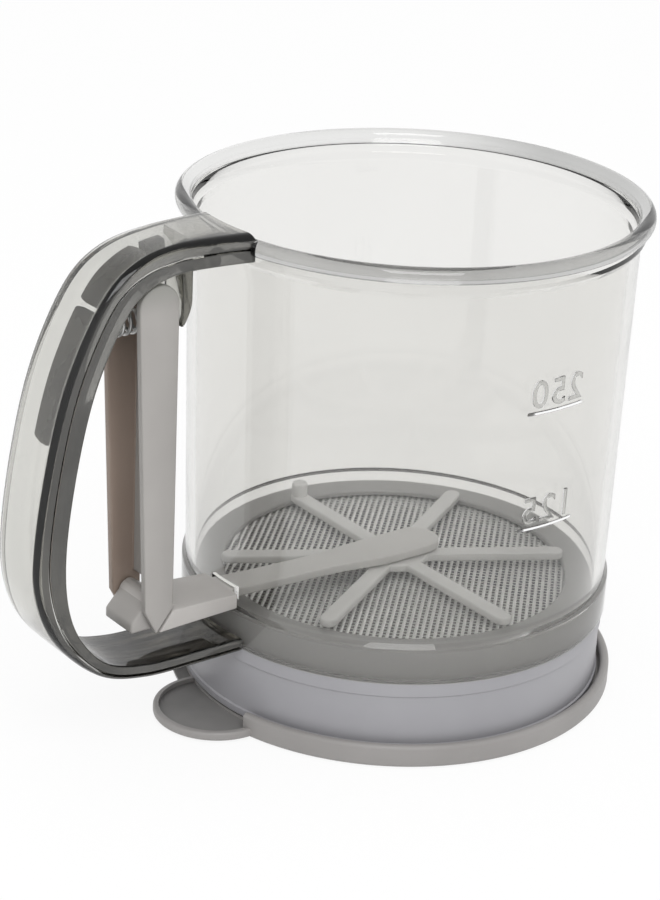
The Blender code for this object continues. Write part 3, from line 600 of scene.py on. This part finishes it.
# handle: the same path as the frame's, from the rim to the foot band
handle = {
    "shares": [(-0.10, 1.0), (0.362, 1.0), (0.586, 0.967), (0.719, 0.888), (0.854, 0.742), (0.945, 0.562),
               (1.0, 0.371), (0.992, 0.226), (0.919, 0.121), (0.766, 0.037), (0.544, 0.005), (0.245, 0.0),
               (-0.10, 0.0)],
    "reach": 0.0820, "upperArm": 0.0962, "lowerArm": 0.0194, "width": 0.0150, "rootWidth": 0.0182,
    "thickness": 0.0062, "upperThickness": 0.0052, "lowerThickness": 0.0030,
    "upperTaper": (0.083, 0.250), "lowerTaper": (0.517, 0.750), "flareStart": -0.0583,
    "coverDepth": 0.0026, "coverThin": 0.0012, "coverThinning": (0.55, 0.75), "coverRound": 0.0021,
    "parting": 0.0003, "frameRound": 0.0005, "steps": 190, "rimReach": 0.0446, "bandReach": 0.0435,
    "collarReach": 0.0449, "rimFoot": 0.0979,
    "channelSpan": (0.0625, 0.72), "channelFloor": 0.0013, "channelWidth": 0.0118,
    "channelRound": 0.0005, "channelSteps": 100,
}
insert = {
    "spans": ((0.117, 0.236), (0.243, 0.400)), "width": 0.0064, "low": 0.0016, "high": 0.0027,
    "shift": -0.0003, "round": 0.0003, "endShare": 0.006, "steps": 60,
    "notchSpan": (0.080, 0.106), "notchWidth": 0.0022, "notchShift": 0.0015, "notchSteps": 12,
}
lug = {
    "low": (-0.0573, -0.0058, 0.0900), "high": (-0.0550, 0.0058, 0.0966), "round": 0.0004,
    "footDrop": 0.0047, "footSteps": 7, "footEnd": 0.22, "footCurve": 1.7,
    "earReach": 0.0026, "earInside": 0.0033, "earOutside": 0.0046, "earTop": 0.0962, "earRound": 0.0004,
}


def pathPoint(share):
    points = handle["shares"]
    last = len(points) - 1
    i = min(int(share * last), last - 1)
    t = share * last - i
    a, b, c, d = (Vector(points[max(0, min(last, j))]) for j in (i - 1, i, i + 1, i + 2))
    mix = 0.5 * (2 * b + (c - a) * t + (2 * a - 5 * b + 4 * c - d) * t**2 + (3 * b - a - 3 * c + d) * t**3)
    x = -(cup["wallTop"] + mix.x * (handle["reach"] - cup["wallTop"]))
    return Vector((x, 0, handle["lowerArm"] + mix.y * (handle["upperArm"] - handle["lowerArm"])))


def pathOutward(share):
    step = 0.002
    along = pathPoint(min(1, share + step)) - pathPoint(max(0, share - step))
    return Vector((along.z, 0, -along.x)).normalized()


def eased(share, span):
    part = min(1, max(0, (share - span[0]) / (span[1] - span[0])))
    return part * part * (3 - 2 * part)


def strapThickness(share):
    gain = eased(share, handle["upperTaper"]) * (handle["thickness"] - handle["upperThickness"])
    loss = eased(share, handle["lowerTaper"]) * (handle["thickness"] - handle["lowerThickness"])
    return handle["upperThickness"] + gain - loss


def partingDepth(share):
    thin = eased(share, handle["coverThinning"]) * (handle["coverDepth"] - handle["coverThin"])
    return strapThickness(share) - handle["coverDepth"] + thin


# a flat section extruded in even steps, then laid along the handle's path
def strapPiece(name, span, width, low, high, corner, steps, allCorners=False, shift=0.0, endShare=0.0):
    clearSelection()
    thick = high(span[0]) - low(span[0])
    bpy.ops.mesh.primitive_plane_add(size=1)
    piece = bpy.context.object
    piece.name = name
    bpy.ops.object.mode_set(mode="EDIT")
    bpy.ops.mesh.select_all(action="SELECT")
    bpy.ops.transform.resize(value=(width, thick, 1))
    editCorners(piece, lambda place: allCorners or place.y > 0)     # or only the two outer ones
    bpy.ops.mesh.bevel(offset=corner, segments=6, affect="VERTICES")
    bpy.ops.mesh.select_all(action="SELECT")
    for _ in range(steps):
        bpy.ops.mesh.extrude_region_move(TRANSFORM_OT_translate={"value": (0, 0, 1 / steps)})
    leaveEdit()
    for vertex in piece.data.vertices:
        across, depth, along = vertex.co.x, vertex.co.y / thick + 0.5, vertex.co.z
        share = span[0] + (span[1] - span[0]) * along
        if endShare:                                    # rounded ends, seen from outside
            nearEnd = min(1, min(share - span[0], span[1] - share) / endShare)
            across *= max(0.3, math.sqrt(1 - (1 - nearEnd) ** 2))
        place = pathPoint(share) + pathOutward(share) * (low(share) + depth * (high(share) - low(share)))
        if place.z > (handle["upperArm"] + handle["lowerArm"]) / 2:
            flare = (place.x - handle["flareStart"]) / (-cup["wallTop"] - handle["flareStart"])
            across *= 1 + min(1, max(0, flare)) * (handle["rootWidth"] / handle["width"] - 1)
        vertex.co = (place.x, across + shift, place.z)
    editAll(piece)
    bpy.ops.mesh.normals_make_consistent(inside=False)
    leaveEdit()
    return piece


def meetCup(piece):
    middle = (handle["upperArm"] + handle["lowerArm"]) / 2
    between = 1.2 * middle          # clear of both arms
    combine(piece, drumPiece("collarRoom", handle["collarReach"], middle, handle["rimFoot"], (0, 0), 192))
    combine(piece, drumPiece("rimRoom", handle["rimReach"], between, 2 * cupHigh.z, (0, 0), 192))
    return combine(piece, drumPiece("bandRoom", handle["bandReach"], -middle, between, (0, 0), 192))


# painted shade: the near side gets a darker, half clear plastic than the rest
def onNearSide(normal, centre):
    return normal.y < -0.8 and centre.y < -0.45 * handle["width"]


def makeHandle():
    cover = strapPiece("handleCover", (0, 1), handle["width"], lambda s: partingDepth(s) + handle["parting"],
                       strapThickness, handle["coverRound"], handle["steps"])
    meetCup(cover)
    finishPiece(cover, handleClear, "cup", ["handle_cover"])
    paintFaces(cover, handleSideShade, onNearSide)
    back = strapPiece("handleFrame", (0, 1), handle["width"], lambda s: 0.0, partingDepth,
                      handle["frameRound"], handle["steps"], True)
    meetCup(back)
    combine(back, strapPiece("channel", handle["channelSpan"], handle["channelWidth"],
                             lambda s: handle["channelFloor"], strapThickness, handle["channelRound"],
                             handle["channelSteps"]))
    finishPiece(back, handleSmoke, "cup", ["handle_frame"])
    paintFaces(back, handleSideShade, onNearSide)
    print("handle laid along its path:", len(cover.data.polygons) + len(back.data.polygons), "faces")


def makeInsert():
    def low(share):
        return insert["low"]

    def high(share):
        return insert["high"]

    for i, span in enumerate(insert["spans"]):
        strip = strapPiece(f"gripInsert{i + 1}", span, insert["width"], low, high, insert["round"],
                           insert["steps"], False, insert["shift"], insert["endShare"])
        finishPiece(strip, insertDark, "cup", ["grip_insert"])
    notch = strapPiece("gripNotch", insert["notchSpan"], insert["notchWidth"], low, high, insert["round"],
                       insert["notchSteps"], False, insert["notchShift"])
    finishPiece(notch, insertDark, "cup")
    print("insert laid in the channel")


def makeLug():
    stop = blockPiece("stopLug", lug["low"], lug["high"])
    editCorners(stop, lambda place: place.z < lug["low"][2] + 0.0001)
    width = 1.0
    stepDown = lug["footDrop"] / lug["footSteps"]
    for i in range(lug["footSteps"]):                   # the foot narrows in a curve towards the trigger
        bpy.ops.mesh.extrude_region_move(TRANSFORM_OT_translate={"value": (0, 0, -stepDown)})
        nextWidth = 1 - (1 - lug["footEnd"]) * ((i + 1) / lug["footSteps"]) ** lug["footCurve"]
        bpy.ops.transform.resize(value=(nextWidth / width, 1, 1), center_override=lug["low"])
        width = nextWidth
    leaveEdit()
    roundEdges(stop, lug["round"], 3, 40)
    finishPiece(stop, lugSmoke, "cup")
    pinLow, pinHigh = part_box("hinge_pin")
    axis = (pinLow + pinHigh) / 2
    for side in (-1, 1):
        inside, outside = sorted((side * lug["earInside"], side * lug["earOutside"]))
        ear = blockPiece(f"hingeEar{'Near' if side < 0 else 'Far'}",
                         (axis.x - lug["earReach"], inside, axis.z - lug["earReach"]),
                         (axis.x + lug["earReach"], outside, lug["earTop"]))
        roundEdges(ear, lug["earRound"])
        finishPiece(ear, handleSmoke, "cup")
    print("stop lug and hinge ears hung")


makeHandle()
makeInsert()
makeLug()


# trigger, push arm, star and their pins
moving = {
    "triggerRound": 0.00035, "warmShadeFrom": 0.0040, "armRound": 0.0003, "starRound": 0.0004, "pinRound": 0.0002,
    "heelLow": (-0.0664, -0.0046, 0.0253), "heelHigh": (-0.0607, 0.0046, 0.0324), "heelRound": 0.0005,
    "heelBackHeight": 0.0010, "heelTop": 0.0012,
    "knobRadius": 0.0017, "knobReach": 0.0333, "knobHeight": 0.0029, "knobSink": 0.0004,
    "knobRound": 0.0007, "slopeRoom": 0.001,
}


def makeMoving():
    trigger = nodeCopy("trigger", "triggerLever")
    roundEdges(trigger, moving["triggerRound"])
    finishPiece(trigger, triggerGrey, "trigger", ["trigger"])

    def onFarWall(normal, centre):
        return centre.y > moving["warmShadeFrom"] and min(normal.x, normal.y) < -0.5

    paintFaces(trigger, triggerWarmShade, onFarWall)         # painted warm shade on the far wall inside the channel
    arm = nodeCopy("push_arm", "pushArm")
    roundEdges(arm, moving["armRound"])
    finishPiece(arm, armGrey, "agitator", ["push_arm"])
    heelLow, heelHigh = Vector(moving["heelLow"]), Vector(moving["heelHigh"])
    heelMiddle = (heelLow + heelHigh) / 2
    heel = blockPiece("armHeel", heelLow, heelHigh)
    slope = blockPiece("slopeCut", heelLow, heelHigh)
    for vertex in slope.data.vertices:                  # what lies over the sloping back
        low = vertex.co.z < heelMiddle.z
        back = vertex.co.x < heelMiddle.x
        vertex.co.y *= 2
        vertex.co.z = heelHigh.z + 2 * moving["slopeRoom"]
        vertex.co.x -= moving["slopeRoom"] if back else moving["heelTop"]
        if low:
            vertex.co.z = heelLow.z + moving["heelBackHeight"] if back else heelHigh.z
    combine(heel, slope)
    roundEdges(heel, moving["heelRound"])
    finishPiece(heel, triggerGrey, "agitator")
    star = nodeCopy("agitator_star", "agitatorStar")
    roundEdges(star, moving["starRound"])
    finishPiece(star, starGrey, "agitator", ["agitator_star"])
    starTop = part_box("agitator_star")[1].z
    knob = drumPiece("spokeKnob", moving["knobRadius"], starTop - moving["knobSink"],
                     starTop + moving["knobHeight"], (0, moving["knobReach"]), 40)
    roundEdges(knob, moving["knobRound"], 4)
    finishPiece(knob, starGrey, "agitator")
    for node, name, body in (("hinge_pin", "hingePin", "cup"), ("link_pin", "linkPin", "agitator"),
                             ("star_rivet", "starRivet", "agitator")):
        pin = nodeCopy(node, name)
        roundEdges(pin, moving["pinRound"])
        finishPiece(pin, pinSteel, body, [node])
    print("trigger, arm, star and pins rounded")


makeMoving()


# return spring: one coil between the grip and the trigger's web
springLow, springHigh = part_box("trigger_spring")
spring = {"wire": 0.0007, "turns": 6, "pointsPerTurn": 24, "keep": 0.963}


def makeSpring():
    wire = spring["wire"] / 2
    coil = (springHigh.z - springLow.z) / 2 - wire
    axisZ = (springHigh.z + springLow.z) / 2
    start, end = springLow.x + wire, springHigh.x - wire
    count = spring["turns"] * spring["pointsPerTurn"]
    curve = bpy.data.curves.new("returnSpring", "CURVE")
    curve.dimensions = "3D"
    curve.bevel_depth = wire
    curve.bevel_resolution = 3
    curve.use_fill_caps = True
    line = curve.splines.new("POLY")
    line.points.add(count)
    for i, point in enumerate(line.points):
        turn = 2 * math.pi * i / spring["pointsPerTurn"]
        x = start + (end - start) * i / count
        point.co = (x, coil * math.sin(turn), axisZ + coil * math.cos(turn), 1)
    piece = bpy.data.objects.new("returnSpring", curve)
    bpy.context.scene.collection.objects.link(piece)
    pick(piece)
    bpy.ops.object.convert(target="MESH")
    finishPiece(piece, springSteel, "cup", ["trigger_spring"], 60)
    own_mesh(piece)
    print("spring wound:", spring["turns"], "turns")


makeSpring()


# raised graduations on the wall, reading from inside as the real one does
marks = {
    "angle": -89.0, "lines": (("250", 0.07075), ("125", 0.0472)), "size": 0.0076, "lineLength": 0.0134,
    "lineWidth": 0.0006, "gapOverLine": 0.0012, "raise": 0.00025, "sink": 0.00002,
    "spacing": 1.15, "lineCuts": 7, "lineRound": 0.0001,
}


def wrapOnCup(piece, lineHeight):
    for vertex in piece.data.vertices:
        x, y, z = vertex.co
        height = lineHeight + y
        turn = math.radians(marks["angle"]) - x / wallRadius(height)
        radius = wallRadius(height) + marks["sink"] + z
        vertex.co = (radius * math.cos(turn), radius * math.sin(turn), height)
    editAll(piece)
    bpy.ops.mesh.remove_doubles(threshold=0.000001)
    bpy.ops.mesh.normals_make_consistent(inside=False)
    leaveEdit()
    return finishPiece(piece, markShadedClear, "cup")


def makeMarks():
    for words, lineHeight in marks["lines"]:
        clearSelection()
        bpy.ops.object.text_add()
        number = bpy.context.object
        number.name = "graduation" + words
        number.data.body = words
        number.data.size = marks["size"]
        number.data.align_x = "CENTER"
        number.data.extrude = marks["raise"] / 2
        number.data.bevel_depth = marks["raise"] / 4
        number.data.space_character = marks["spacing"]
        bpy.ops.object.convert(target="MESH")
        for vertex in number.data.vertices:
            vertex.co.y += marks["gapOverLine"]
            vertex.co.z += marks["raise"]
        wrapOnCup(number, lineHeight)
        half = marks["lineLength"] / 2
        line = blockPiece("graduationLine" + words, (-half, -marks["lineWidth"] / 2, 0),
                          (half, marks["lineWidth"] / 2, marks["raise"]))
        editAll(line)
        bpy.ops.mesh.subdivide(number_cuts=marks["lineCuts"])
        leaveEdit()
        roundEdges(line, marks["lineRound"], 2)
        wrapOnCup(line, lineHeight)
    print("graduations raised:", ", ".join(words for words, _ in marks["lines"]))


makeMarks()


# floor, light and camera
stage = {
    "floorSize": 4.0, "floorDrop": 0.0002, "floorColour": (0.95, 0.95, 0.95), "floorWhite": 0.88,
    "worldLight": 0.86, "skyLow": 0.30, "skyHigh": 0.85, "skyDark": 0.55,
    "keyPlace": (-0.35, -0.55, 0.75), "keyAim": (0, 0, 0.05), "keySize": 0.5, "keyPower": 3.6,
}
photoView = {
    "azimuth": -39.5, "elevation": 23.05, "distance": 0.51265, "aimHeight": 0.044,
    "yaw": 1.58, "pitch": 0.20, "roll": -3.42, "focalPixels": 2556.64, "frameHeight": 900,
}


# 1 for rays that show the white background, straight or through clear plastic
def backgroundRay(tree):
    path = tree.nodes.new("ShaderNodeLightPath")
    most = None
    for name in ("Is Camera Ray", "Is Glossy Ray", "Is Transmission Ray"):
        if most is None:
            most = path.outputs[name]
            continue
        larger = tree.nodes.new("ShaderNodeMath")
        larger.operation = "MAXIMUM"
        tree.links.new(most, larger.inputs[0])
        tree.links.new(path.outputs[name], larger.inputs[1])
        most = larger.outputs["Value"]
    direct = tree.nodes.new("ShaderNodeMath")           # not for light gathered by matt surfaces
    direct.operation = "LESS_THAN"
    direct.inputs[1].default_value = 0.5
    tree.links.new(path.outputs["Diffuse Depth"], direct.inputs[0])
    both = tree.nodes.new("ShaderNodeMath")
    both.operation = "MULTIPLY"
    tree.links.new(most, both.inputs[0])
    tree.links.new(direct.outputs["Value"], both.inputs[1])
    return both.outputs["Value"]


def makeFloor():
    clearSelection()
    bpy.ops.mesh.primitive_plane_add(size=stage["floorSize"], location=(0, 0, -stage["floorDrop"]))
    floor = bpy.context.object
    floor.name = "paleFloor"
    material = bpy.data.materials.new("paleFloor")
    material.use_nodes = True
    tree = material.node_tree
    tree.nodes.remove(tree.nodes["Principled BSDF"])
    matt = tree.nodes.new("ShaderNodeBsdfDiffuse")
    matt.inputs["Color"].default_value = (*stage["floorColour"], 1)
    white = tree.nodes.new("ShaderNodeEmission")
    share = tree.nodes.new("ShaderNodeMath")
    share.operation = "MULTIPLY"
    share.inputs[1].default_value = stage["floorWhite"]
    tree.links.new(backgroundRay(tree), share.inputs[0])
    mix = tree.nodes.new("ShaderNodeMixShader")
    tree.links.new(share.outputs["Value"], mix.inputs["Fac"])
    tree.links.new(matt.outputs["BSDF"], mix.inputs[1])
    tree.links.new(white.outputs["Emission"], mix.inputs[2])
    tree.links.new(mix.outputs["Shader"], tree.nodes["Material Output"].inputs["Surface"])
    floor.data.materials.append(material)


def makeLight():
    world = bpy.data.worlds.new("studio")
    world.use_nodes = True
    bpy.context.scene.world = world
    tree = world.node_tree
    light = tree.nodes["Background"]
    light.inputs["Color"].default_value = (1, 1, 1, 1)
    light.inputs["Strength"].default_value = stage["worldLight"]
    white = tree.nodes.new("ShaderNodeBackground")
    place = tree.nodes.new("ShaderNodeTexCoord")        # reflections darken towards the ceiling
    split = tree.nodes.new("ShaderNodeSeparateXYZ")
    tree.links.new(place.outputs["Generated"], split.inputs["Vector"])
    sky = tree.nodes.new("ShaderNodeMapRange")
    sky.interpolation_type = "SMOOTHSTEP"
    sky.inputs["From Min"].default_value = stage["skyLow"]
    sky.inputs["From Max"].default_value = stage["skyHigh"]
    sky.inputs["To Min"].default_value = 1
    sky.inputs["To Max"].default_value = stage["skyDark"]
    tree.links.new(split.outputs["Z"], sky.inputs["Value"])
    tree.links.new(sky.outputs["Result"], white.inputs["Color"])
    mix = tree.nodes.new("ShaderNodeMixShader")
    tree.links.new(backgroundRay(tree), mix.inputs["Fac"])
    tree.links.new(light.outputs["Background"], mix.inputs[1])
    tree.links.new(white.outputs["Background"], mix.inputs[2])
    tree.links.new(mix.outputs["Shader"], tree.nodes["World Output"].inputs["Surface"])
    lamp = bpy.data.lights.new("softKey", "AREA")
    lamp.size = stage["keySize"]
    lamp.energy = stage["keyPower"]
    key = bpy.data.objects.new("softKey", lamp)
    key.location = stage["keyPlace"]
    key.rotation_mode = "QUATERNION"
    key.rotation_quaternion = (Vector(stage["keyAim"]) - key.location).to_track_quat("-Z", "Y")
    bpy.context.scene.collection.objects.link(key)


def makeCamera():
    turn, tilt = math.radians(photoView["azimuth"]), math.radians(photoView["elevation"])
    back = Vector((math.sin(turn) * math.cos(tilt), -math.cos(turn) * math.cos(tilt), math.sin(tilt)))
    ahead = -back
    right = Vector((math.cos(turn), math.sin(turn), 0))
    up = right.cross(ahead)
    turns = (("yaw", up, (ahead, right)), ("pitch", right, (ahead, up)), ("roll", ahead, (right, up)))
    for name, axis, others in turns:
        for other in others:
            other.rotate(Quaternion(axis, math.radians(photoView[name])))
    lens = bpy.data.cameras.new("photoCamera")
    lens.lens = photoView["focalPixels"] / photoView["frameHeight"] * lens.sensor_width
    lens.clip_start, lens.clip_end = 0.01, 20
    camera = bpy.data.objects.new("photoCamera", lens)
    place = Matrix((right, up, -ahead)).transposed().to_4x4()
    place.translation = Vector((0, 0, photoView["aimHeight"])) + back * photoView["distance"]
    camera.matrix_world = place
    bpy.context.scene.collection.objects.link(camera)
    bpy.context.scene.camera = camera


makeFloor()
makeLight()
makeCamera()
bpy.context.scene.view_settings.view_transform = "Standard"
print("stage set")
